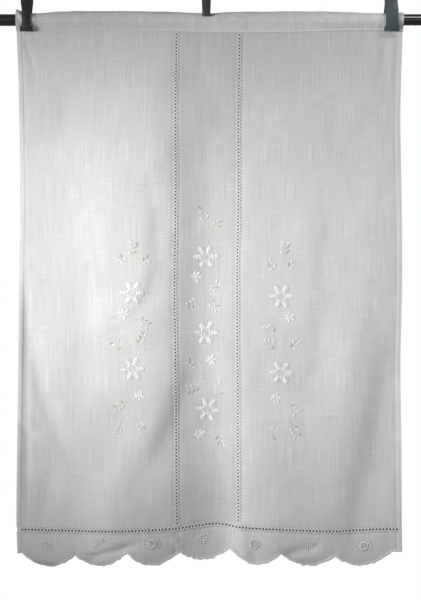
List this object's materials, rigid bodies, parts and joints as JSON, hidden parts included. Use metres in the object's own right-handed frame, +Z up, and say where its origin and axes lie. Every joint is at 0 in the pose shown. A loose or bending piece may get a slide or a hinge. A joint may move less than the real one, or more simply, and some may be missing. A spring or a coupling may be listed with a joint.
{
  "type": "rod pocket curtain with its rod and clips",
  "caption": "Small linen rod pocket curtain with openwork strips, white flower embroidery and a scalloped hem, hanging on a round rod and nipped to it by spring clips.",
  "frame": {"origin": "on the rod's axis at its mid-length", "axes": "+Z up, the curtain's front faces -Y, +X to the right seen from the front"},
  "size_m": [0.7, 0.032, 0.9094],
  "materials": {
    "rod": "glossy black lacquer on a round rod",
    "linen": "fine plain-woven white linen with slubs, slightly sheer",
    "centre_linen": "the same linen, a little greyer",
    "white_thread": "white cotton stitching, openwork and satin stitch",
    "clip": "dark slate plastic, satin",
    "clip_spring": "dull steel"
  },
  "bodies": {
    "root": {"rod": "rod", "heading": "linen", "panel_left": "linen", "panel_centre": "centre_linen", "panel_right": "linen", "openwork_left": "white_thread", "openwork_right": "white_thread", "openwork_level": "white_thread", "border": "linen", "clip_left_front_arm": "clip", "clip_left_back_arm": "clip", "clip_left_spring": "clip_spring", "clip_centre_front_arm": "clip", "clip_centre_back_arm": "clip", "clip_centre_spring": "clip_spring", "clip_right_front_arm": "clip", "clip_right_back_arm": "clip", "clip_right_spring": "clip_spring"}
  },
  "joints": []
}
